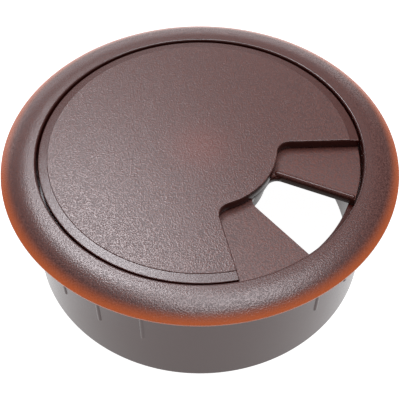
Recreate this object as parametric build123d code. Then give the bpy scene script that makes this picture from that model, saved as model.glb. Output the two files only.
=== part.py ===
from build123d import *
import os
from math import cos, radians, sin

# Desk grommet for a 60 mm hole in a worktop: a flanged liner that drops into the hole, and a
# two-piece cap that lies in the liner. The cap is a cover disc with a notch, and a shutter disc
# that turns under the cover on a split snap hub, so that its own notch opens the way for cables.
# Millimetres, +Z up. The origin is on the axis, in the plane of the sleeve's lower end.
# Azimuths are counted from +X, counter-clockwise as seen from above.

# ---- Liner: sleeve and flange ----
desk_hole_radius = 30.0
sleeve_gap = 0.3              # radial gap between the sleeve and the desk hole
sleeve_wall = 2.3
sleeve_depth = 21.6           # from the flange's underside to the sleeve's lower end
sleeve_end_chamfer = 0.35
flange_reach = 3.0            # how far the flange laps over the edge of the desk hole
rim_thickness = 0.35          # the flange's outer edge
flange_crest_height = 1.85    # above the desk
crest_flat_width = 0.6        # level strip at the crest, beside the mouth's rounding
mouth_rounding = 0.3
rim_rounding = 0.12

# ---- Liner: recess and ledge that carry the cap ----
recess_narrowing = 0.3        # the recess above the ledge is narrower than the sleeve's bore
ledge_width = 1.6
ledge_thickness = 1.3
ledge_drop = 1.5              # ledge's upper face below the flange's underside
ledge_rounding = 0.25

# ---- Liner: centring ribs on the outside of the sleeve ----
rib_height = 0.22
rib_width = 0.8
rib_length = 12.0
rib_pitch = 15.0              # degrees between neighbouring ribs of a group
ribs_per_group = 3
rib_group_azimuths = (57.5, 143.7, 237.5, 323.7)

# ---- Clearances between the pieces ----
cap_gap = 0.35                # radial, between the discs and the recess
seat_gap = 0.1                # between the ledge and the shutter
disc_gap = 0.1                # between the shutter and the cover
hub_clearance = 0.08          # radial, between the snap hub and the shutter's bore
hook_clearance = 0.1          # between the hooks and the collar's lower end

# ---- Shutter ----
shutter_thickness = 1.4
shutter_azimuth = -36.5       # middle of its notch, in the stored pose
shutter_notch_half_angle = 13.4
shutter_notch_corner = 1.8
collar_wall = 1.92
collar_height = 4.4           # below the disc
collar_land = 1.1             # from the collar to the notch's inner arc
lip_height = 0.3              # above the disc
lip_width = 0.9
lip_rounding = 0.27
lip_inner_inset = 0.42        # from the inner end of the notch's side
lip_outer_inset = 0.15        # from the disc's rim

# ---- Cover ----
cover_thickness = 1.7
cover_azimuth = -37.1         # middle of its notch
cover_notch_half_angle = 39.2
cover_notch_step = 0.26       # cover's inner arc stands back from the shutter's by this much
cover_notch_corner = 2.4
cover_border_width = 1.6      # smooth band around the grained face
cover_border_drop = 0.14      # the band's fall towards the rim
cover_rim_rounding = 0.15
cover_face_step = 0.12        # how far the grained face stands above the band
cover_step_run = 0.1          # width of the slope from the face to the band
notch_side_offset = 0.55      # each side of a notch lies this far outside a radial line
hub_radius = 9.5
hub_wall = 1.4
hook_reach = 0.42             # how far the hooks stand out from the hub
hook_height = 1.3
hub_slot_width = 2.2
hub_slots = 4

# ---- Worked-out sizes ----
sleeve_radius = desk_hole_radius - sleeve_gap
liner_bore = sleeve_radius - sleeve_wall
recess_radius = liner_bore - recess_narrowing
flange_radius = desk_hole_radius + flange_reach
desk_level = sleeve_depth
crest_level = desk_level + flange_crest_height
ledge_level = desk_level - ledge_drop
disc_radius = recess_radius - cap_gap
shutter_bottom = ledge_level + seat_gap
shutter_top = shutter_bottom + shutter_thickness
cover_bottom = shutter_top + disc_gap
cover_top = cover_bottom + cover_thickness
bore_radius = hub_radius + hub_clearance
collar_radius = bore_radius + collar_wall
shutter_notch_radius = collar_radius + collar_land
cover_notch_radius = shutter_notch_radius + cover_notch_step
collar_bottom = shutter_bottom - collar_height
hook_top = collar_bottom - hook_clearance
hub_bottom = hook_top - hook_height


def ring_of(outline):
    """Turn a closed half-section in the XZ plane once around the Z axis."""
    return revolve(make_face(outline), Axis.Z)


def edges_at(solid, radius, level):
    """Circular edges of the given radius at the given height."""
    circles = solid.edges().filter_by(GeomType.CIRCLE)
    return [
        edge
        for edge in circles
        if abs(edge.radius - radius) < 0.001 and abs(edge.arc_center.Z - level) < 0.001
    ]


def notch_sketch(inner_radius, half_angle, corner, azimuth):
    """Outline of a notch: an inner arc about the axis, two sides, rounded inner corners."""
    reach = 2 * flange_radius
    apex = -notch_side_offset / sin(radians(half_angle))
    far_x = apex + reach * cos(radians(half_angle))
    far_y = reach * sin(radians(half_angle))
    wedge = make_face(Polyline((apex, 0), (far_x, -far_y), (far_x, far_y), close=True))
    outline = wedge - Circle(inner_radius)
    inner_corners = [v for v in outline.vertices() if Vector(v).length < inner_radius + 0.01]
    return Rot(0, 0, azimuth) * fillet(inner_corners, corner)


def notch_cutter(inner_radius, half_angle, corner, azimuth, bottom, top):
    """The notch's outline carried from one height to another."""
    outline = notch_sketch(inner_radius, half_angle, corner, azimuth)
    return Pos(0, 0, bottom) * extrude(outline, top - bottom)


def make_rib(azimuth):
    """One centring rib: a shallow half-round ridge with a rounded lower end."""
    ridge_radius = ((rib_width / 2) ** 2 + rib_height**2) / (2 * rib_height)
    axis_radius = sleeve_radius + rib_height - ridge_radius
    low = desk_level - rib_length + ridge_radius
    ridge = Pos(axis_radius, 0, (low + desk_level) / 2) * Cylinder(ridge_radius, desk_level - low)
    end = Pos(axis_radius, 0, low) * Sphere(ridge_radius)
    return Rot(0, 0, azimuth) * (ridge + end)


def make_liner():
    """Sleeve, domed flange, inner ledge and outer ribs in one moulding."""
    crest_outer = recess_radius + mouth_rounding + crest_flat_width
    ledge_inner = liner_bore - ledge_width
    dome_run = flange_radius - crest_outer
    dome_fall = flange_crest_height - rim_thickness
    dome_radius = (dome_run**2 + dome_fall**2) / (2 * dome_fall)
    middle = dome_run / 2
    middle_level = crest_level - dome_radius + (dome_radius**2 - middle**2) ** 0.5
    rim_top = (flange_radius, 0, desk_level + rim_thickness)
    crest_end = (crest_outer, 0, crest_level)
    dome = ThreePointArc(rim_top, (crest_outer + middle, 0, middle_level), crest_end)
    outline = Polyline(
        crest_end,
        (recess_radius, 0, crest_level),
        (recess_radius, 0, ledge_level),
        (ledge_inner, 0, ledge_level),
        (ledge_inner, 0, ledge_level - ledge_thickness),
        (liner_bore, 0, ledge_level - ledge_thickness),
        (liner_bore, 0, 0),
        (sleeve_radius, 0, 0),
        (sleeve_radius, 0, desk_level),
        (flange_radius, 0, desk_level),
        rim_top,
    )
    liner = ring_of([dome, outline])
    liner = fillet(edges_at(liner, recess_radius, crest_level), mouth_rounding)
    liner = fillet(edges_at(liner, ledge_inner, ledge_level), ledge_rounding)
    liner = fillet(edges_at(liner, flange_radius, desk_level + rim_thickness), rim_rounding)
    liner = chamfer(edges_at(liner, sleeve_radius, 0), sleeve_end_chamfer)
    for group_azimuth in rib_group_azimuths:
        for place in range(ribs_per_group):
            liner += make_rib(group_azimuth + (place - (ribs_per_group - 1) / 2) * rib_pitch)
    return liner


def make_lip():
    """Thumb lip along the side of the shutter's notch, round-ended in plan."""
    side = shutter_azimuth + shutter_notch_half_angle
    start = shutter_notch_radius + lip_inner_inset
    length = disc_radius - lip_outer_inset - start
    low = shutter_top - shutter_thickness / 2
    bar = extrude(SlotOverall(length, lip_width), shutter_top + lip_height - low)
    bar = Pos(start + length / 2, notch_side_offset + lip_width / 2, low) * bar
    upper_edges = bar.faces().sort_by(Axis.Z)[-1].edges()
    return Rot(0, 0, side) * fillet(upper_edges, lip_rounding)


def make_shutter():
    """Turning disc with its notch, thumb lip and the collar that turns on the snap hub."""
    collar_level = (collar_bottom + shutter_top) / 2
    disc = Pos(0, 0, (shutter_bottom + shutter_top) / 2) * Cylinder(disc_radius, shutter_thickness)
    collar = Pos(0, 0, collar_level) * Cylinder(collar_radius, shutter_top - collar_bottom)
    bore = Pos(0, 0, collar_level) * Cylinder(bore_radius, 2 * (shutter_top - collar_bottom))
    notch = notch_cutter(
        shutter_notch_radius,
        shutter_notch_half_angle,
        shutter_notch_corner,
        shutter_azimuth,
        shutter_bottom - collar_height,
        cover_top,
    )
    return disc - notch + collar - bore + make_lip()


def make_hub():
    """Split snap hub: four springy fingers with hooks under the collar."""
    hub_top = cover_bottom + cover_thickness / 2
    outline = Polyline(
        (hub_radius - hub_wall, 0, hub_top),
        (hub_radius - hub_wall, 0, hub_bottom),
        (hub_radius - hook_reach, 0, hub_bottom),
        (hub_radius + hook_reach, 0, hook_top - hook_reach),
        (hub_radius + hook_reach, 0, hook_top),
        (hub_radius, 0, hook_top),
        (hub_radius, 0, hub_top),
        close=True,
    )
    hub = ring_of(outline)
    slot_height = cover_bottom - hub_bottom
    for number in range(hub_slots // 2):
        slot = Box(4 * hub_radius, hub_slot_width, 2 * slot_height)
        slot = Pos(0, 0, hub_bottom) * slot
        turned = Rot(0, 0, cover_azimuth + 45 + number * 180 / (hub_slots // 2)) * slot
        hub -= turned
    return hub


def make_cover():
    """Cover disc with its grained face, smooth border band, notch and snap hub."""
    face_radius = disc_radius - cover_border_width
    band_level = cover_top - cover_face_step
    rim_level = band_level - cover_border_drop
    outline = Polyline(
        (0, 0, cover_top),
        (face_radius, 0, cover_top),
        (face_radius + cover_step_run, 0, band_level),
        (disc_radius, 0, rim_level),
        (disc_radius, 0, cover_bottom),
        (0, 0, cover_bottom),
        close=True,
    )
    cover = ring_of(outline)
    cover = fillet(edges_at(cover, disc_radius, rim_level), cover_rim_rounding)
    notch = notch_cutter(
        cover_notch_radius,
        cover_notch_half_angle,
        cover_notch_corner,
        cover_azimuth,
        cover_bottom - disc_gap,
        cover_top + disc_gap,
    )
    return cover - notch + make_hub()


pieces = {
    "liner": make_liner(),
    "cover": make_cover(),
    "shutter": make_shutter(),
}

os.makedirs("parts", exist_ok=True)
for name, solid in pieces.items():
    export_step(solid, f"parts/{name}.step")
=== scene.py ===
"""Looks of a desk grommet: a flanged liner, and a cap whose shutter turns under a notched cover."""

import logging
import math
from collections.abc import Callable, Sequence
from dataclasses import dataclass
from enum import Enum

import bpy
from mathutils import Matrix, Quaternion, Vector
from mathutils.geometry import delaunay_2d_cdt


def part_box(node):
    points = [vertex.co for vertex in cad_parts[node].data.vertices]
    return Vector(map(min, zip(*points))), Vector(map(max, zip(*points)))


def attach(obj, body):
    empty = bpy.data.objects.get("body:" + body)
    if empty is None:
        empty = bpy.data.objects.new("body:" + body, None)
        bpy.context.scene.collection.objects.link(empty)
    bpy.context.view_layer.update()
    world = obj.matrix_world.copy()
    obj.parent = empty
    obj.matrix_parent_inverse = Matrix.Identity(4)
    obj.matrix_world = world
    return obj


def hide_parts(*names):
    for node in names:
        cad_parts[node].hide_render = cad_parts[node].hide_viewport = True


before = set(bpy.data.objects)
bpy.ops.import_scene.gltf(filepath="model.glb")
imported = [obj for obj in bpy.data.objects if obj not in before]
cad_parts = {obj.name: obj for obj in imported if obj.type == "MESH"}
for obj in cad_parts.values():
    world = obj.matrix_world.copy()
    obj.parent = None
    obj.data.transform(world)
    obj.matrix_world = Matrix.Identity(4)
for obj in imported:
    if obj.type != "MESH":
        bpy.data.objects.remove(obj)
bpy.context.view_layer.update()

MM = 0.001
FULL_TURN = 2 * math.pi
CREASE_ANGLE = math.radians(38)
LOG = logging.getLogger("desk_grommet")

Point = tuple[float, float]
Colour = tuple[float, float, float]
Triangle = tuple[int, int, int]
HeightField = Callable[[float, float], float]


# ---------------------------------------------------------------- plane geometry


def on_circle(centre: Point, radius: float, angle: float) -> Point:
    """Point of a circle at an angle in radians."""
    return centre[0] + radius * math.cos(angle), centre[1] + radius * math.sin(angle)


def arc(centre: Point, radius: float, start: float, end: float, step: float) -> list[Point]:
    """Points along an arc, both ends among them.

    Args:
        centre: the arc's centre.
        radius: its radius, in metres.
        start: first angle, in radians.
        end: last angle, in radians; smaller than start for a clockwise arc.
        step: greatest distance between neighbouring points, in metres.

    Returns:
        The points in order.
    """
    count = max(4, math.ceil(abs(end - start) * radius / step))
    return [on_circle(centre, radius, start + (end - start) * i / count) for i in range(count + 1)]


def straight(start: Point, end: Point, step: float) -> list[Point]:
    """Points along a straight run, both ends among them.

    Args:
        start: first point.
        end: last point.
        step: greatest distance between neighbouring points, in metres.

    Returns:
        The points in order.
    """
    count = max(2, math.ceil(math.dist(start, end) / step))
    places = [i / count for i in range(count + 1)]
    across, along = end[0] - start[0], end[1] - start[1]
    return [(start[0] + t * across, start[1] + t * along) for t in places]


def turned(points: Sequence[Point], angle: float) -> list[Point]:
    """Points turned about the axis by an angle in radians."""
    cosine, sine = math.cos(angle), math.sin(angle)
    return [(x * cosine - y * sine, x * sine + y * cosine) for x, y in points]


def quarter_round(depth_in: float, radius: float) -> float:
    """How far a rounded edge has fallen at a distance in from the edge.

    Args:
        depth_in: distance in from the edge, in metres.
        radius: the rounding's radius, in metres.

    Returns:
        The fall, in metres; 0 where the rounding has ended.
    """
    if depth_in >= radius:
        return 0.0
    return radius - math.sqrt(radius**2 - (radius - max(depth_in, 0.0)) ** 2)


# ---------------------------------------------------------------- turned profiles


@dataclass(frozen=True)
class Corner:
    """A corner of a turned profile: its radius from the axis, its height and its rounding."""

    r: float
    z: float
    rounding: float = 0.0


@dataclass(frozen=True)
class Profile:
    """A closed half-section with rounded corners, to be turned about the Z axis."""

    corners: tuple[Corner, ...]
    arc_steps: int = 6
    guard: float = 0.06 * MM

    def _rounded(self, before: Corner, here: Corner, after: Corner) -> list[Point]:
        """Points that round one corner off, with a guard point on each long side.

        Args:
            before: the corner ahead of this one.
            here: the corner that is rounded.
            after: the corner that follows.

        Returns:
            The (radius, height) points that take the corner's place.
        """
        if here.rounding == 0:
            return [(here.r, here.z)]
        place = Vector((here.r, here.z))
        to_before = Vector((before.r, before.z)) - place
        to_after = Vector((after.r, after.z)) - place
        half = to_before.angle(to_after) / 2
        setback = here.rounding / math.tan(half)
        middle = (to_before.normalized() + to_after.normalized()).normalized()
        centre = place + middle * (here.rounding / math.sin(half))
        first = place + to_before.normalized() * setback
        last = place + to_after.normalized() * setback
        points = []
        if to_before.length > setback + 3 * self.guard:
            points.append(first + to_before.normalized() * self.guard)
        for i in range(self.arc_steps + 1):
            spoke = (first - centre).lerp(last - centre, i / self.arc_steps)
            points.append(centre + spoke.normalized() * here.rounding)
        if to_after.length > setback + 3 * self.guard:
            points.append(last + to_after.normalized() * self.guard)
        return [(point.x, point.y) for point in points]

    def points(self) -> list[Point]:
        """The half-section with its corners rounded.

        Returns:
            A closed run of (radius, height) points.
        """
        count = len(self.corners)
        outline: list[Point] = []
        for i, here in enumerate(self.corners):
            outline += self._rounded(self.corners[i - 1], here, self.corners[(i + 1) % count])
        return outline


def object_from(
    name: str, vertices: Sequence[Sequence[float]], faces: Sequence[Sequence[int]]
) -> bpy.types.Object:
    """Make a mesh object with smooth shading and sharp edges where the surface turns a corner.

    Args:
        name: the piece's name.
        vertices: its points, in metres in the row's frame.
        faces: its faces, as runs of vertex numbers.

    Returns:
        The object, linked to the scene.
    """
    mesh = bpy.data.meshes.new(name)
    mesh.from_pydata([tuple(v) for v in vertices], [], [tuple(f) for f in faces])
    mesh.validate()
    mesh.polygons.foreach_set("use_smooth", [True] * len(mesh.polygons))
    mesh.set_sharp_from_angle(angle=CREASE_ANGLE)
    mesh.update()
    piece = bpy.data.objects.new(name, mesh)
    bpy.context.scene.collection.objects.link(piece)
    return piece


def turned_solid(
    name: str,
    outline: Sequence[Point],
    azimuths: Sequence[float],
    swell: Callable[[float, float, float], float] | None = None,
) -> bpy.types.Object:
    """Turn a closed half-section once around the Z axis.

    Args:
        name: the piece's name.
        outline: (radius, height) points, closed, counter-clockwise in the (r, z) plane.
        azimuths: the angles of the sections, rising, without the last one that closes the turn.
        swell: extra radius at a radius, height and azimuth, for ribs on the outside.

    Returns:
        The object.
    """
    rows, columns = len(outline), len(azimuths)
    vertices = []
    for azimuth in azimuths:
        for r, z in outline:
            reach = r + (swell(r, z, azimuth) if swell else 0.0)
            vertices.append((reach * math.cos(azimuth), reach * math.sin(azimuth), z))
    faces = []
    for j in range(columns):
        here, there = j * rows, (j + 1) % columns * rows
        for i in range(rows):
            k = (i + 1) % rows
            faces.append((here + i, there + i, there + k, here + k))
    return object_from(name, vertices, faces)


def turned_sector(
    name: str, outline: Sequence[Point], spans: Sequence[Point], step: float
) -> bpy.types.Object:
    """Turn a closed half-section through several separate spans, each with flat ends.

    Args:
        name: the piece's name.
        outline: (radius, height) points, closed.
        spans: the first and last azimuth of each span, in radians.
        step: greatest angle between neighbouring sections, in radians.

    Returns:
        One object that holds a closed solid for each span.
    """
    vertices: list[tuple[float, float, float]] = []
    faces: list[tuple[int, ...]] = []
    rows = len(outline)
    for first, last in spans:
        base = len(vertices)
        count = math.ceil((last - first) / step)
        for j in range(count + 1):
            azimuth = first + (last - first) * j / count
            vertices += [(r * math.cos(azimuth), r * math.sin(azimuth), z) for r, z in outline]
        for j in range(count):
            here, there = base + j * rows, base + (j + 1) * rows
            for i in range(rows):
                k = (i + 1) % rows
                faces.append((here + i, there + i, there + k, here + k))
        faces.append(tuple(base + i for i in range(rows)))
        faces.append(tuple(base + count * rows + i for i in reversed(range(rows))))
    return object_from(name, vertices, faces)


# ---------------------------------------------------------------- notched discs


@dataclass(frozen=True)
class Notch:
    """A notch in a disc: an inner arc about the axis, two sides and rounded inner corners."""

    inner_radius: float
    half_angle: float
    corner: float
    side_offset: float
    azimuth: float
    step: float = 0.35 * MM

    @property
    def corner_azimuth(self) -> float:
        """Azimuth of an inner corner's centre, from the notch's middle."""
        reach = self.inner_radius + self.corner
        return self.half_angle + math.asin((self.side_offset - self.corner) / reach)

    @property
    def corner_centre(self) -> Point:
        """Centre of the upper inner corner's rounding, in the notch's own frame."""
        return on_circle((0, 0), self.inner_radius + self.corner, self.corner_azimuth)

    def set_back(self, distance: float) -> "Notch":
        """The same notch with its edge moved into the material.

        Args:
            distance: how far the edge moves, in metres.

        Returns:
            The wider notch.
        """
        return Notch(
            self.inner_radius - distance,
            self.half_angle,
            self.corner + distance,
            self.side_offset + distance,
            self.azimuth,
            self.step,
        )

    def own_frame(self, x: float, y: float) -> Point:
        """A point of the row's frame as (ahead, aside) in the notch's own frame."""
        return turned([(x, y)], -self.azimuth)[0]

    def side_end(self, radius: float) -> float:
        """Azimuth, from the notch's middle, where a side meets a circle about the axis."""
        return self.half_angle + math.asin(self.side_offset / radius)

    def outline(self, disc_radius: float) -> list[Point]:
        """Closed outline, counter-clockwise, of what the notch leaves of a disc.

        Args:
            disc_radius: the disc's radius, in metres.

        Returns:
            The outline's points in the row's frame, with no point repeated.
        """
        centre, turn = self.corner_centre, self.corner_azimuth
        facing = self.half_angle + math.pi / 2
        side_start = on_circle(centre, self.corner, facing)
        end = self.side_end(disc_radius)
        upper = arc((0, 0), self.inner_radius, 0, turn, self.step)
        upper += arc(centre, self.corner, turn + math.pi, facing, self.step)[1:]
        upper += straight(side_start, on_circle((0, 0), disc_radius, end), self.step)[1:]
        rim = arc((0, 0), disc_radius, end, FULL_TURN - end, 2 * self.step)[1:-1]
        lower = [(x, -y) for x, y in reversed(upper)][:-1]
        return turned(upper + rim + lower, self.azimuth)

    def side_place(self, x: float, y: float) -> Point:
        """Where a point lies by the notch's upper side.

        Args:
            x: the point's first coordinate, in metres.
            y: its second coordinate.

        Returns:
            The distances along the side and away from it, into the material.
        """
        ahead, aside = self.own_frame(x, y)
        cosine, sine = math.cos(self.half_angle), math.sin(self.half_angle)
        return ahead * cosine + aside * sine, aside * cosine - ahead * sine - self.side_offset

    def distance(self, x: float, y: float) -> float:
        """Distance of a point in the material from the notch's edge.

        Args:
            x: the point's first coordinate, in metres.
            y: its second coordinate.

        Returns:
            The distance, in metres; below 0 inside the notch.
        """
        ahead, aside = self.own_frame(x, y)
        aside = abs(aside)
        cosine, sine = math.cos(self.half_angle), math.sin(self.half_angle)
        centre = self.corner_centre
        along = ahead * cosine + aside * sine
        if along >= centre[0] * cosine + centre[1] * sine:
            return aside * cosine - ahead * sine - self.side_offset
        if math.atan2(aside, ahead) <= self.corner_azimuth:
            return self.inner_radius - math.hypot(ahead, aside)
        return math.dist((ahead, aside), centre) - self.corner


@dataclass(frozen=True)
class NotchedDisc:
    """A flat moulded disc with a notch, rounded edges and, if asked for, a bore."""

    radius: float
    bottom: float
    notch: Notch
    top_rounding: float
    bottom_rounding: float
    bore: float = 0.0
    edge_rows: tuple[float, ...] = (0.0, 0.04, 0.15, 0.33, 0.55, 0.8, 1.0, 1.35)
    merge_distance: float = 1e-5
    notch_margin: float = math.radians(10)

    def _edge_distance(self, x: float, y: float) -> float:
        """Distance in from the disc's outline."""
        return max(0.0, min(self.radius - math.hypot(x, y), self.notch.distance(x, y)))

    def _loops(self) -> list[list[Point]]:
        """Outlines that follow the rounded edge inwards, and the bore.

        Returns:
            Closed outlines, the disc's own first.
        """
        loops = []
        for share in self.edge_rows:
            inward = share * self.top_rounding
            loops.append(self.notch.set_back(inward).outline(self.radius - inward))
        if self.bore:
            loops.append(arc((0, 0), self.bore, 0, FULL_TURN, self.notch.step)[:-1])
        return loops

    def build(
        self, name: str, upper: HeightField, runs: Sequence[Sequence[Point]], loose: Sequence[Point]
    ) -> bpy.types.Object:
        """Make the disc as one closed mesh.

        Args:
            name: the piece's name.
            upper: height of the upper surface over a point, before the edge is rounded.
            runs: open runs of points that the mesh has to follow.
            loose: single points that the mesh has to hold.

        Returns:
            The object.
        """
        points: list[Vector] = []
        edges: list[tuple[int, int]] = []
        for loop in self._loops():
            base, count = len(points), len(loop)
            points += [Vector(p) / MM for p in loop]
            edges += [(base + i, base + (i + 1) % count) for i in range(count)]
        for run in runs:
            base = len(points)
            points += [Vector(p) / MM for p in run]
            edges += [(base + i, base + i + 1) for i in range(len(run) - 1)]
        points += [Vector(p) / MM for p in loose]
        flat, _, triangles, *_ = delaunay_2d_cdt(points, edges, [], 0, self.merge_distance)
        kept = []
        for triangle in triangles:
            middle = sum((flat[i] for i in triangle), Vector((0, 0))) / 3 * MM
            if self._holds(*middle):
                kept.append(triangle)
        return object_from(name, *self._closed([(v.x * MM, v.y * MM) for v in flat], kept, upper))

    def _holds(self, x: float, y: float) -> bool:
        """Whether a point lies in the disc's material.

        Args:
            x: the point's first coordinate, in metres.
            y: its second coordinate.

        Returns:
            True in the material, False in the bore, in the notch and outside the disc.
        """
        reach = math.hypot(x, y)
        if not self.bore < reach < self.radius:
            return False
        ahead, aside = self.notch.own_frame(x, y)
        if abs(math.atan2(aside, ahead)) > self.notch.half_angle + self.notch_margin:
            return True
        return self.notch.distance(x, y) > 0

    def _closed(
        self, flat: Sequence[Point], triangles: Sequence[Sequence[int]], upper: HeightField
    ) -> tuple[list[tuple[float, float, float]], list[tuple[int, ...]]]:
        """Lift a flat triangulation into a closed solid with an upper skin, a lower skin and walls.

        Args:
            flat: the triangulation's points.
            triangles: its kept triangles, counter-clockwise.
            upper: height of the upper surface over a point.

        Returns:
            The solid's vertices and faces.
        """
        used = sorted({i for triangle in triangles for i in triangle})
        place = {old: new for new, old in enumerate(used)}
        count = len(used)
        tops, bottoms = [], []
        for i in used:
            x, y = flat[i]
            inward = self._edge_distance(x, y)
            tops.append((x, y, upper(x, y) - quarter_round(inward, self.top_rounding)))
            bottoms.append((x, y, self.bottom + quarter_round(inward, self.bottom_rounding)))
        faces: list[tuple[int, ...]] = []
        rims: set[tuple[int, int]] = set()
        for triangle in triangles:
            a, b, c = (place[i] for i in triangle)
            faces += [(a, b, c), (count + c, count + b, count + a)]
            rims |= {(a, b), (b, c), (c, a)}
        for a, b in sorted(rims):
            if (b, a) not in rims:
                faces.append((b, a, count + a, count + b))
        return tops + bottoms, faces


# ---------------------------------------------------------------- finishes


def linear(red: int, green: int, blue: int) -> Colour:
    """A display colour as linear light.

    Args:
        red: display value from 0 to 255.
        green: display value from 0 to 255.
        blue: display value from 0 to 255.

    Returns:
        The three channels, each from 0 to 1.
    """

    def channel(value: int) -> float:
        """One channel as linear light."""
        share = value / 255
        return share / 12.92 if share <= 0.04045 else ((share + 0.055) / 1.055) ** 2.4

    return channel(red), channel(green), channel(blue)


class NodeSheet:
    """A material's node tree, with short calls for the nodes that the finishes use."""

    def __init__(self, name: str) -> None:
        """Start a material with a Principled shader and an output.

        Args:
            name: the material's name.
        """
        self.material = bpy.data.materials.new(name)
        self.material.use_nodes = True
        self.tree = self.material.node_tree
        self.tree.nodes.clear()
        output = self.tree.nodes.new("ShaderNodeOutputMaterial")
        self.shader = self.tree.nodes.new("ShaderNodeBsdfPrincipled")
        self.join(self.shader.outputs["BSDF"], output.inputs["Surface"])
        self.place = self.tree.nodes.new("ShaderNodeTexCoord").outputs["Object"]

    def join(self, source: bpy.types.NodeSocket, target: bpy.types.NodeSocket) -> None:
        """Link an output to an input."""
        self.tree.links.new(source, target)

    def _node(self, kind: str, values: dict[str | int, object]) -> bpy.types.Node:
        """Add a node, and set or link its inputs.

        Args:
            kind: the node's type.
            values: plain values or sockets, by the input's name or number.

        Returns:
            The node.
        """
        node = self.tree.nodes.new(kind)
        for key, value in values.items():
            self.feed(node.inputs[key], value)
        return node

    def feed(self, socket: bpy.types.NodeSocket, value: object) -> None:
        """Link an output to a socket, or set the socket to a plain value.

        Args:
            socket: the input to fill.
            value: an output socket, a number or a colour.
        """
        if isinstance(value, bpy.types.NodeSocket):
            self.join(value, socket)
        elif socket.type == "RGBA":
            socket.default_value = (*value, 1.0)
        else:
            socket.default_value = value

    def noise(
        self, size: float, detail: float = 2.0, roughness: float = 0.5
    ) -> bpy.types.NodeSocket:
        """Noise whose features are about that size, in metres."""
        values = {"Vector": self.place, "Scale": 1 / size, "Detail": detail, "Roughness": roughness}
        return self._node("ShaderNodeTexNoise", values).outputs["Fac"]

    def radius(self) -> bpy.types.NodeSocket:
        """Distance from the grommet's axis.

        Returns:
            The socket of the distance, in metres.
        """
        node = self._node("ShaderNodeVectorMath", {0: self.place, 1: (1.0, 1.0, 0.0)})
        node.operation = "MULTIPLY"
        length = self._node("ShaderNodeVectorMath", {0: node.outputs["Vector"]})
        length.operation = "LENGTH"
        return length.outputs["Value"]

    def distance(self, point: Sequence[float]) -> bpy.types.NodeSocket:
        """Distance from a point.

        Args:
            point: the point, in metres in the row's frame.

        Returns:
            The socket of the distance, in metres.
        """
        node = self._node("ShaderNodeVectorMath", {0: self.place, 1: tuple(point)})
        node.operation = "DISTANCE"
        return node.outputs["Value"]

    def height(self) -> bpy.types.NodeSocket:
        """Height above the sleeve's lower end, in metres."""
        return self._node("ShaderNodeSeparateXYZ", {"Vector": self.place}).outputs["Z"]

    def ramp(
        self, value: object, low: float, high: float, to_low: object = 0.0, to_high: object = 1.0
    ) -> bpy.types.NodeSocket:
        """A smooth step from one value to another.

        Args:
            value: what is mapped, a number or a socket.
            low: the value where the step starts.
            high: the value where it ends.
            to_low: the result before the step, a number or a socket.
            to_high: the result after it, a number or a socket.

        Returns:
            The mapped value's socket.
        """
        source = {"Value": value, "From Min": low, "From Max": high}
        node = self._node("ShaderNodeMapRange", source | {"To Min": to_low, "To Max": to_high})
        node.interpolation_type = "SMOOTHSTEP"
        return node.outputs["Result"]

    def times(self, a: object, b: object) -> bpy.types.NodeSocket:
        """Product of two values.

        Args:
            a: a number or a socket.
            b: a number or a socket.

        Returns:
            The product's socket.
        """
        node = self._node("ShaderNodeMath", {0: a, 1: b})
        node.operation = "MULTIPLY"
        return node.outputs["Value"]

    def blend(self, share: object, first: object, second: object) -> bpy.types.NodeSocket:
        """Mix of two colours.

        Args:
            share: how much of the second shows, from 0 to 1; a number or a socket.
            first: a colour or a socket.
            second: a colour or a socket.

        Returns:
            The mixed colour's socket.
        """
        node = self.tree.nodes.new("ShaderNodeMix")
        node.data_type = "RGBA"
        self.feed(node.inputs["Factor"], share)
        self.feed(node.inputs["A"], first)
        self.feed(node.inputs["B"], second)
        return node.outputs["Result"]

    def bump(
        self, height: bpy.types.NodeSocket, depth: float, strength: object, under: object = None
    ) -> bpy.types.NodeSocket:
        """A bumped normal.

        Args:
            height: the height map, from 0 to 1.
            depth: what 1 stands for, in metres.
            strength: share of the bump that shows, a number or a socket.
            under: a normal that this bump goes on top of.

        Returns:
            The normal's socket.
        """
        values = {"Height": height, "Distance": depth, "Strength": strength}
        if under is not None:
            values["Normal"] = under
        return self._node("ShaderNodeBump", values).outputs["Normal"]


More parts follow.
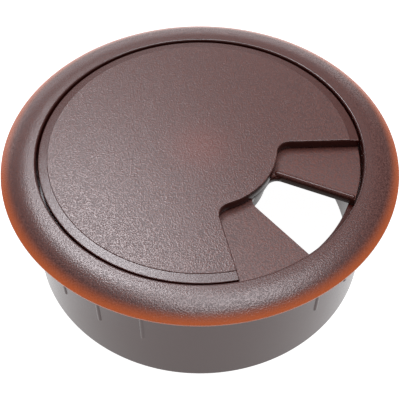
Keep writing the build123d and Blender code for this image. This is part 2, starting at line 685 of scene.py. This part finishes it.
@dataclass(frozen=True)
class BrownPlastic:
    """Deep brown injection-moulded plastic: spark-eroded grain where asked, smooth elsewhere."""

    # base and pale: the brown, and the pale flecks on the grain's high points, which are partly the
    # plastic's own mottle and partly painted glints of light.
    base: Colour = linear(52, 15, 9)
    pale: Colour = linear(91, 60, 55)
    grain_size: float = 0.23 * MM
    grain_depth: float = 0.038 * MM
    grained_roughness: float = 0.3
    roughness_spread: float = 0.1
    smooth_roughness: float = 0.22
    refraction: float = 1.49
    mottle_and_glint_flecks: tuple[float, float] = (0.37, 0.65)
    gloss: tuple[float, float] = (0.35, 0.65)
    wave_size: float = 2.5 * MM
    wave_depth: float = 0.012 * MM
    wave_strength: float = 0.6

    def sheet(self, name: str) -> NodeSheet:
        """A node sheet with the plastic's constant values set.

        Args:
            name: the material's name.

        Returns:
            The sheet, still without colour and grain.
        """
        sheet = NodeSheet(name)
        sheet.shader.inputs["IOR"].default_value = self.refraction
        return sheet

    def dress(
        self, sheet: NodeSheet, grain: object, tint: Colour | None = None, share: object = 0.0
    ) -> None:
        """Give a sheet the plastic's colour, grain and gloss.

        Args:
            sheet: the sheet to fill in.
            grain: share of spark-eroded grain, from 0, smooth, to 1; a number or a socket.
            tint: a colour laid over the brown.
            share: how much of the tint shows; a number or a socket.
        """
        fine = sheet.noise(self.grain_size, 1.0, 0.6)
        # Pale flecks on the grain: partly the plastic's mottle, partly painted glints of light.
        mottle_and_glint_flecks = sheet.times(sheet.ramp(fine, *self.mottle_and_glint_flecks), grain)
        brown = sheet.blend(mottle_and_glint_flecks, self.base, self.pale)
        if tint is not None:
            brown = sheet.blend(share, brown, tint)
        sheet.join(brown, sheet.shader.inputs["Base Color"])
        dull = self.grained_roughness + self.roughness_spread
        bright = self.grained_roughness - self.roughness_spread
        grained = sheet.ramp(fine, *self.gloss, dull, bright)
        roughness = sheet.ramp(grain, 0.0, 1.0, self.smooth_roughness, grained)
        sheet.join(roughness, sheet.shader.inputs["Roughness"])
        pits = sheet.bump(fine, self.grain_depth, grain)
        swell = sheet.noise(self.wave_size, 1.0)
        waves = sheet.bump(swell, self.wave_depth, self.wave_strength, pits)
        sheet.join(waves, sheet.shader.inputs["Normal"])


# ---------------------------------------------------------------- the liner


@dataclass
class Liner:
    """Flange, sleeve, inner ledge and centring ribs: one moulding for the desk's hole."""

    sleeve_radius: float = 29.7 * MM
    bore: float = 27.4 * MM
    recess_radius: float = 27.1 * MM
    flange_radius: float = 33.0 * MM
    desk_level: float = 21.6 * MM
    rim_thickness: float = 0.35 * MM
    crest_flat: float = 0.6 * MM
    mouth_rounding: float = 0.3 * MM
    ledge_width: float = 1.6 * MM
    ledge_level: float = 20.1 * MM
    ledge_thickness: float = 1.3 * MM
    rib_height: float = 0.22 * MM
    rib_width: float = 0.8 * MM
    rib_length: float = 12.0 * MM
    rib_pitch: float = math.radians(15)
    rib_group_azimuths: tuple[float, ...] = (57.5, 143.7, 237.5, 323.7)
    dome_steps: int = 28
    sections: int = 288
    # Painted light: an orange glow, as of light shining through the flange's narrow rim, mixed into
    # the colour near the rim.
    painted_glow_reach: float = 2.0 * MM
    painted_glow_beyond: float = 0.4 * MM
    painted_glow_strength: float = 0.74
    painted_glow_colour: Colour = linear(176, 80, 24)
    grain_share: float = 0.8
    plastic: BrownPlastic = BrownPlastic()

    @property
    def crest_level(self) -> float:
        """Height of the flange's crest, which is the whole part's highest point."""
        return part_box("liner")[1].z

    def _dome(self) -> list[Corner]:
        """The flange's upper side, from its rim up to the crest.

        Returns:
            Corners along the dome's arc, the rim's first.
        """
        crest_outer = self.recess_radius + self.mouth_rounding + self.crest_flat
        run = self.flange_radius - crest_outer
        fall = self.crest_level - self.desk_level - self.rim_thickness
        radius = (run**2 + fall**2) / (2 * fall)
        reach = math.asin(run / radius)
        angles = [reach * (1 - i / self.dome_steps) for i in range(self.dome_steps + 1)]
        middle = self.crest_level - radius
        return [
            Corner(crest_outer + radius * math.sin(a), middle + radius * math.cos(a))
            for a in angles
        ]

    def _sleeve_rows(self) -> list[Corner]:
        """Corners up the outside of the sleeve, close together where the ribs end.

        Returns:
            The corners, the lowest first.
        """
        rib_end = self.desk_level - self.rib_length
        rows = [rib_end + i * 0.08 * MM for i in range(-2, 12)]
        rows += [self.desk_level - 0.5 * MM, self.desk_level - 0.1 * MM]
        return [Corner(self.sleeve_radius, z) for z in sorted(rows)]

    def profile(self) -> Profile:
        """The liner's half-section.

        Returns:
            The profile, to be turned about the axis.
        """
        inner, ledge_inner = self.bore, self.bore - self.ledge_width
        ledge_bottom = self.ledge_level - self.ledge_thickness
        dome = self._dome()
        corners = [
            Corner(inner, 0.0, 0.25 * MM),
            Corner(self.sleeve_radius, 0.0, 0.4 * MM),
            *self._sleeve_rows(),
            Corner(self.sleeve_radius, self.desk_level, 0.06 * MM),
            Corner(self.flange_radius, self.desk_level, 0.1 * MM),
            Corner(dome[0].r, dome[0].z, 0.08 * MM),
            *dome[1:],
            Corner(self.recess_radius, self.crest_level, self.mouth_rounding),
            Corner(self.recess_radius, self.ledge_level, 0.08 * MM),
            Corner(ledge_inner, self.ledge_level, 0.25 * MM),
            Corner(ledge_inner, ledge_bottom, 0.12 * MM),
            Corner(inner, ledge_bottom, 0.08 * MM),
        ]
        return Profile(tuple(corners))

    def rib_azimuths(self) -> list[float]:
        """Azimuth of each centring rib, in radians."""
        middles = [math.radians(a) for a in self.rib_group_azimuths]
        return sorted(m + place * self.rib_pitch for m in middles for place in (-1, 0, 1))

    def _columns(self) -> list[float]:
        """Azimuths of the sections: even all round, and close together across each rib.

        Returns:
            The azimuths in radians, rising.
        """
        even = {round(i * FULL_TURN / self.sections, 6) for i in range(self.sections)}
        steps = [i / 7 for i in range(-9, 10)]
        half = self.rib_width / 2 / self.sleeve_radius
        near = {round((a + s * half) % FULL_TURN, 6) for a in self.rib_azimuths() for s in steps}
        clear = {e for e in even if all(abs(e - n) > 0.2 * half for n in near)}
        return sorted(clear | near)

    def rib_swell(self, r: float, z: float, azimuth: float) -> float:
        """How far a rib stands out of the sleeve.

        Args:
            r: the place's radius, in metres.
            z: its height, in metres.
            azimuth: its azimuth, in radians.

        Returns:
            The extra radius, in metres; 0 away from the ribs.
        """
        on_sleeve = abs(r - self.sleeve_radius) <= 0.001 * MM
        if not on_sleeve or not 0.5 * MM < z < self.desk_level - 0.08 * MM:
            return 0.0
        radius = ((self.rib_width / 2) ** 2 + self.rib_height**2) / (2 * self.rib_height)
        end = self.desk_level - self.rib_length + self.rib_width / 2
        for middle in self.rib_azimuths():
            turn = (azimuth - middle + math.pi) % FULL_TURN - math.pi
            across = math.hypot(turn * self.sleeve_radius, max(0.0, end - z))
            if across < self.rib_width / 2:
                return math.sqrt(radius**2 - across**2) - (radius - self.rib_height)
        return 0.0

    def finish(self) -> bpy.types.Material:
        """Grained flange with painted light at its rim, an orange glow as of light shining through
        the plastic there, above a smooth sleeve.

        Returns:
            The material.
        """
        sheet = self.plastic.sheet("liner_plastic")
        reach, level = sheet.radius(), sheet.height()
        above = sheet.ramp(level, self.desk_level + 0.1 * MM, self.desk_level + 0.4 * MM)
        outside = sheet.ramp(reach, self.recess_radius + 0.1 * MM, self.recess_radius + 0.5 * MM)
        # Mask of the painted orange glow of light through the rim, rising towards the flange's
        # edge.
        start, end = self.flange_radius - self.painted_glow_reach, self.flange_radius + self.painted_glow_beyond
        painted_glow_mask = sheet.ramp(reach, start, end, 0.0, self.painted_glow_strength)
        grain = sheet.times(sheet.times(above, outside), self.grain_share)
        self.plastic.dress(sheet, grain, self.painted_glow_colour, painted_glow_mask)
        return sheet.material

    def build(self) -> list[bpy.types.Object]:
        """Make and dress the liner.

        Returns:
            Its one piece.
        """
        outline = self.profile().points()
        piece = turned_solid("flanged_liner", outline, self._columns(), self.rib_swell)
        piece.data.materials.append(self.finish())
        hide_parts("liner")
        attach(piece, "liner")
        return [piece]


# ---------------------------------------------------------------- the cap


@dataclass
class Cover:
    """The cap's upper disc: grained face, smooth border band, wide notch, snap hub below."""

    radius: float = 26.75 * MM
    bottom: float = 21.7 * MM
    top: float = 23.4 * MM
    border_width: float = 1.6 * MM
    border_drop: float = 0.14 * MM
    rim_rounding: float = 0.15 * MM
    face_step: float = 0.12 * MM
    step_run: float = 0.1 * MM
    hub_radius: float = 9.5 * MM
    hub_wall: float = 1.4 * MM
    hub_bottom: float = 14.4 * MM
    hook_top: float = 15.7 * MM
    hook_reach: float = 0.42 * MM
    hub_slot: float = 2.2 * MM
    hub_fingers: int = 4
    hub_root: float = 0.3 * MM
    bottom_rounding: float = 0.1 * MM
    band_grain: float = 0.5
    blush_radius: float = 8 * MM
    blush_share: float = 0.2
    blush_tint: Colour = linear(120, 50, 36)
    notch: Notch = Notch(
        inner_radius=12.86 * MM,
        half_angle=math.radians(39.2),
        corner=2.4 * MM,
        side_offset=0.55 * MM,
        azimuth=math.radians(-37.1),
    )
    plastic: BrownPlastic = BrownPlastic()

    def surface(self, x: float, y: float) -> float:
        """Height of the cover's upper side, before its edges are rounded.

        Args:
            x: the place's first coordinate, in metres.
            y: its second coordinate.

        Returns:
            The height, in metres.
        """
        face_radius = self.radius - self.border_width
        reach = math.hypot(x, y)
        if reach <= face_radius:
            return self.top
        if reach <= face_radius + self.step_run:
            return self.top - (reach - face_radius) * self.face_step / self.step_run
        slope = self.border_drop / (self.radius - face_radius - self.step_run)
        return self.top - self.face_step - slope * (reach - face_radius - self.step_run)

    def _band_runs(self) -> list[list[Point]]:
        """Arcs that the mesh follows at the face's edge and across the border band.

        Returns:
            Open runs of points, the innermost first.
        """
        face_radius = self.radius - self.border_width
        guard = 0.05 * MM
        radii = [face_radius - guard, face_radius, face_radius + self.step_run]
        radii += [face_radius + self.step_run + guard]
        first, last, rows = radii[-1], self.radius - self.rim_rounding - guard, 6
        radii += [first + (last - first) * i / rows for i in range(1, rows + 1)]
        runs = []
        for reach in radii:
            end = self.notch.side_end(reach)
            ring = arc((0, 0), reach, end, FULL_TURN - end, 0.5 * MM)
            runs.append(turned(ring, self.notch.azimuth))
        return runs

    def _disc(self) -> bpy.types.Object:
        """The notched disc.

        Returns:
            The disc's object.
        """
        roundings = (self.rim_rounding, self.bottom_rounding)
        disc = NotchedDisc(self.radius, self.bottom, self.notch, *roundings)
        return disc.build("cover_disc", self.surface, self._band_runs(), [])

    def _fingers(self) -> bpy.types.Object:
        """The split snap hub: four springy fingers with hooks.

        Returns:
            One object that holds all the fingers.
        """
        outer, inner = self.hub_radius, self.hub_radius - self.hub_wall
        hook = outer + self.hook_reach
        corners = (
            Corner(inner, self.hub_bottom, 0.15 * MM),
            Corner(outer - self.hook_reach, self.hub_bottom, 0.15 * MM),
            Corner(hook, self.hook_top - self.hook_reach, 0.1 * MM),
            Corner(hook, self.hook_top, 0.08 * MM),
            Corner(outer, self.hook_top, 0.06 * MM),
            Corner(outer, self.bottom + self.hub_root),
            Corner(inner, self.bottom + self.hub_root),
        )
        half_slot = math.asin(self.hub_slot / 2 / outer)
        first = self.notch.azimuth + math.radians(45)
        pitch = FULL_TURN / self.hub_fingers
        starts = [first + i * pitch for i in range(self.hub_fingers + 1)]
        spans = [(a + half_slot, b - half_slot) for a, b in zip(starts, starts[1:])]
        return turned_sector("snap_fingers", Profile(corners).points(), spans, math.radians(3))

    def finish(self) -> bpy.types.Material:
        """Grained face with a faint warm blush over the hub, and a smoother border band.

        Returns:
            The material.
        """
        sheet = self.plastic.sheet("cover_plastic")
        reach, level = sheet.radius(), sheet.height()
        face_radius = self.radius - self.border_width
        inside = sheet.ramp(reach, face_radius, face_radius + self.step_run, 1.0, self.band_grain)
        above = sheet.ramp(level, self.top - 0.4 * MM, self.top - 0.2 * MM)
        blush = sheet.ramp(reach, 0.0, self.blush_radius, self.blush_share, 0.0)
        self.plastic.dress(sheet, sheet.times(inside, above), self.blush_tint, blush)
        return sheet.material

    def build(self) -> list[bpy.types.Object]:
        """Make and dress the cover.

        Returns:
            Its two pieces.
        """
        disc, fingers = self._disc(), self._fingers()
        material = self.finish()
        for piece in (disc, fingers):
            piece.data.materials.append(material)
            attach(piece, "cover")
        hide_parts("cover")
        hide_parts("cover")
        return [disc, fingers]


@dataclass
class Shutter:
    """The cap's lower disc: it turns under the cover, and has a thumb lip beside its own notch."""

    radius: float = 26.75 * MM
    bottom: float = 20.2 * MM
    top: float = 21.6 * MM
    bore: float = 9.58 * MM
    collar_radius: float = 11.5 * MM
    collar_bottom: float = 15.8 * MM
    lip_height: float = 0.3 * MM
    lip_width: float = 0.9 * MM
    lip_start: float = 13.02 * MM
    lip_end: float = 26.6 * MM
    lip_front_run: float = 0.45 * MM
    lip_front_fall: float = 0.75 * MM
    lip_squareness: float = 2.6
    lip_grain: float = 0.5
    edge_rounding: float = 0.12 * MM
    collar_root: float = 0.2 * MM
    collar_sections: int = 180
    notch: Notch = Notch(
        inner_radius=12.6 * MM,
        half_angle=math.radians(13.4),
        corner=1.8 * MM,
        side_offset=0.55 * MM,
        azimuth=math.radians(-36.5),
    )
    plastic: BrownPlastic = BrownPlastic(
        base=linear(58, 21, 14),
        pale=linear(88, 50, 43),
        grain_size=0.25 * MM,
        grain_depth=0.028 * MM,
        grained_roughness=0.38,
    )

    def lip(self, x: float, y: float) -> float:
        """How far the thumb lip, a rounded bar with rounded ends, stands above the disc.

        Args:
            x: the place's first coordinate, in metres.
            y: its second coordinate.

        Returns:
            The height above the disc, in metres; 0 off the lip.
        """
        along, away = self.notch.side_place(x, y)
        half = self.lip_width / 2
        beyond = max(self.lip_start + half - along, along - self.lip_end + half, 0.0)
        front = max(half - away, 0.0) * min(4 * beyond / half, 1.0)
        share = math.hypot(beyond, max(away - half, front)) / half
        if share >= 1 or away < -half:
            return 0.0
        return self.lip_height * (1 - share**self.lip_squareness) ** (1 / self.lip_squareness)

    def lip_front(self, x: float, y: float) -> float:
        """How far the lip's front, towards the notch, falls away from the lip's top.

        Args:
            x: the place's first coordinate, in metres.
            y: its second coordinate.

        Returns:
            The fall, in metres; 0 off the lip's front.
        """
        along, away = self.notch.side_place(x, y)
        run, middle = self.lip_front_run, (self.lip_start + self.lip_end) / 2
        ends = ((self.lip_end - self.lip_start) / 2 - abs(along - middle)) / run
        if abs(away) >= run or ends <= 0:
            return 0.0
        share = 1 - max(away, 0.0) / run
        return min(ends, 1.0) * self.lip_front_fall * (1 - math.sqrt(1 - share**2))

    def surface(self, x: float, y: float) -> float:
        """Height of the shutter's upper side, before its edges are rounded."""
        return self.top + self.lip(x, y) - self.lip_front(x, y)

    def _lip_points(self) -> list[Point]:
        """Close points over the lip, so that its round shape is in the mesh.

        Returns:
            The points in the row's frame.
        """
        across, fine = 0.055 * MM, 0.09 * MM
        rows = math.ceil((self.lip_width + 0.2 * MM) / across)
        steps = math.ceil((self.lip_end - self.lip_start + 0.4 * MM) / fine)
        points = []
        for j in range(1, rows + 1):
            for i in range(steps + 1):
                along = self.lip_start - 0.2 * MM + i * fine
                away = self.notch.side_offset + j * across
                points.append((along, away))
        return turned(points, self.notch.azimuth + self.notch.half_angle)

    def _disc(self) -> bpy.types.Object:
        """The notched disc with its thumb lip.

        Returns:
            The disc's object.
        """
        rounding = self.edge_rounding
        disc = NotchedDisc(self.radius, self.bottom, self.notch, rounding, rounding, self.bore)
        return disc.build("shutter_disc", self.surface, [], self._lip_points())

    def _collar(self) -> bpy.types.Object:
        """The collar that turns on the snap hub.

        Returns:
            The collar's object.
        """
        corners = (
            Corner(self.bore, self.collar_bottom, 0.15 * MM),
            Corner(self.collar_radius, self.collar_bottom, 0.3 * MM),
            Corner(self.collar_radius, self.bottom + self.collar_root),
            Corner(self.bore, self.bottom + self.collar_root),
        )
        columns = [i * FULL_TURN / self.collar_sections for i in range(self.collar_sections)]
        return turned_solid("hub_collar", Profile(corners).points(), columns)

    def finish(self, name: str, grain: float) -> bpy.types.Material:
        """Brown plastic, grained on the disc's upper side and smoother on the lip.

        Args:
            name: the material's name.
            grain: share of grain on the upper side, 0 for a piece that is smooth all over.

        Returns:
            The material.
        """
        sheet = self.plastic.sheet(name)
        level = sheet.height()
        above = sheet.ramp(level, self.top - 0.3 * MM, self.top - 0.1 * MM, 0.0, grain)
        low, high = self.top + 0.04 * MM, self.top + 0.16 * MM
        below_lip = sheet.ramp(level, low, high, 1.0, self.lip_grain)
        self.plastic.dress(sheet, sheet.times(above, below_lip))
        return sheet.material

    def build(self) -> list[bpy.types.Object]:
        """Make and dress the shutter.

        Returns:
            Its two pieces.
        """
        disc, collar = self._disc(), self._collar()
        disc.data.materials.append(self.finish("shutter_plastic", 1.0))
        collar.data.materials.append(self.finish("collar_plastic", 0.0))
        for piece in (disc, collar):
            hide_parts("shutter")
            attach(piece, "shutter")
        return [disc, collar]


# ---------------------------------------------------------------- the studio


class Side(Enum):
    """Where a lamp stands: the unit direction from the grommet to it."""

    OVERHEAD = (0.12, 0.05, 0.99)
    BACK_LEFT = (-0.2, 0.46, 0.87)
    BACK = (-0.2, 0.95, 0.3)


@dataclass(frozen=True)
class Lamp:
    """A rectangular soft box that faces the grommet."""

    name: str
    side: Side
    distance: float
    width: float
    length: float
    roll: float
    power: float
    colour: Colour = (0.93, 0.95, 1.0)

    def hang(self) -> None:
        """Put the lamp in the scene."""
        light = bpy.data.lights.new(self.name, "AREA")
        light.shape = "RECTANGLE"
        light.size = self.width
        light.size_y = self.length
        light.energy = self.power
        light.color = self.colour
        lamp = bpy.data.objects.new(self.name, light)
        direction = Vector(self.side.value).normalized()
        lamp.location = direction * self.distance
        facing = direction.to_track_quat("Z", "Y") @ Quaternion((0, 0, 1), self.roll)
        lamp.rotation_euler = facing.to_euler()
        bpy.context.scene.collection.objects.link(lamp)


@dataclass(frozen=True)
class Studio:
    """Pale floor with painted shade and a painted pool of light inside the sleeve, soft light and
    the camera.
    """

    floor_size: float = 3.0
    floor_glow: float = 2.85
    floor_roughness: float = 0.6
    cloud_size: float = 80 * MM
    cloud_dark: Colour = (0.34, 0.34, 0.34)
    cloud_pale: Colour = (0.36, 0.36, 0.36)
    # Painted shade on the floor inside the sleeve, and a painted pool of light below the notch.
    shade: Colour = (0.11, 0.1, 0.09)
    shade_edge: tuple[float, float] = (26.5 * MM, 28 * MM)
    painted_light_centre: tuple[float, float, float] = (18 * MM, 3 * MM, 0.0)
    painted_light_edge: tuple[float, float] = (11 * MM, 29 * MM)
    room_light: float = 0.38
    camera_place: tuple[float, float, float] = (0.0, -88.10 * MM, 118.79 * MM)
    pitch: float = math.radians(51.22)
    lens: float = 70.2
    sensor: float = 36.0
    near_clip: float = 0.005
    sideways: float = 0.0003
    lamps: tuple[Lamp, ...] = (
        Lamp("overhead_box", Side.OVERHEAD, 0.8, 0.42, 0.45, 0.0, 5.3),
        Lamp("back_left_box", Side.BACK_LEFT, 0.8, 0.26, 0.30, 0.0, 4.0),
        Lamp("back_wall", Side.BACK, 0.8, 1.4, 0.3, 0.0, 2.4),
    )

    def _floor(self) -> None:
        """A pale floor with painted shade inside the sleeve and a painted pool of light below the
        notch, in both its colour and its glow.
        """
        half = self.floor_size / 2
        corners = [(-half, -half, 0), (half, -half, 0), (half, half, 0), (-half, half, 0)]
        floor = object_from("floor", corners, [(0, 1, 2, 3)])
        sheet = NodeSheet("pale_floor")
        sheet.shader.inputs["Roughness"].default_value = self.floor_roughness
        cloud = sheet.blend(sheet.noise(self.cloud_size, 2.0), self.cloud_dark, self.cloud_pale)
        # Painted pool of light below the notch, within painted shade inside the sleeve; the floor's
        # colour and glow both carry them.
        painted_light_pool = sheet.ramp(sheet.distance(self.painted_light_centre), *self.painted_light_edge, 1.0, 0.0)
        inside = sheet.blend(painted_light_pool, self.shade, cloud)
        tone = sheet.blend(sheet.ramp(sheet.radius(), *self.shade_edge), inside, cloud)
        sheet.join(tone, sheet.shader.inputs["Base Color"])
        sheet.join(tone, sheet.shader.inputs["Emission Color"])
        sheet.shader.inputs["Emission Strength"].default_value = self.floor_glow
        floor.data.materials.append(sheet.material)

    def _surroundings(self) -> None:
        """An even white room."""
        world = bpy.data.worlds.new("white_room")
        world.use_nodes = True
        background = world.node_tree.nodes["Background"]
        background.inputs["Color"].default_value = (1.0, 1.0, 1.0, 1.0)
        background.inputs["Strength"].default_value = self.room_light
        bpy.context.scene.world = world
        bpy.context.scene.view_settings.view_transform = "Standard"

    def _camera(self) -> None:
        """The camera, looking down at the grommet."""
        lens = bpy.data.cameras.new("camera")
        lens.lens = self.lens
        lens.sensor_width = self.sensor
        lens.shift_x = self.sideways
        lens.clip_start = self.near_clip
        camera = bpy.data.objects.new("camera", lens)
        camera.location = self.camera_place
        camera.rotation_euler = (math.pi / 2 - self.pitch, 0, 0)
        bpy.context.scene.collection.objects.link(camera)
        bpy.context.scene.camera = camera

    def set_up(self) -> None:
        """Make the floor, the light and the camera."""
        self._floor()
        self._surroundings()
        self._camera()
        for lamp in self.lamps:
            lamp.hang()


def main() -> None:
    """Build the studio and the grommet, and log each piece."""
    logging.basicConfig(level=logging.INFO, format="%(name)s: %(message)s")
    Studio().set_up()
    for assembly in (Liner(), Cover(), Shutter()):
        for piece in assembly.build():
            LOG.info("%s has %d faces", piece.name, len(piece.data.polygons))


if __name__ == "__main__":
    main()
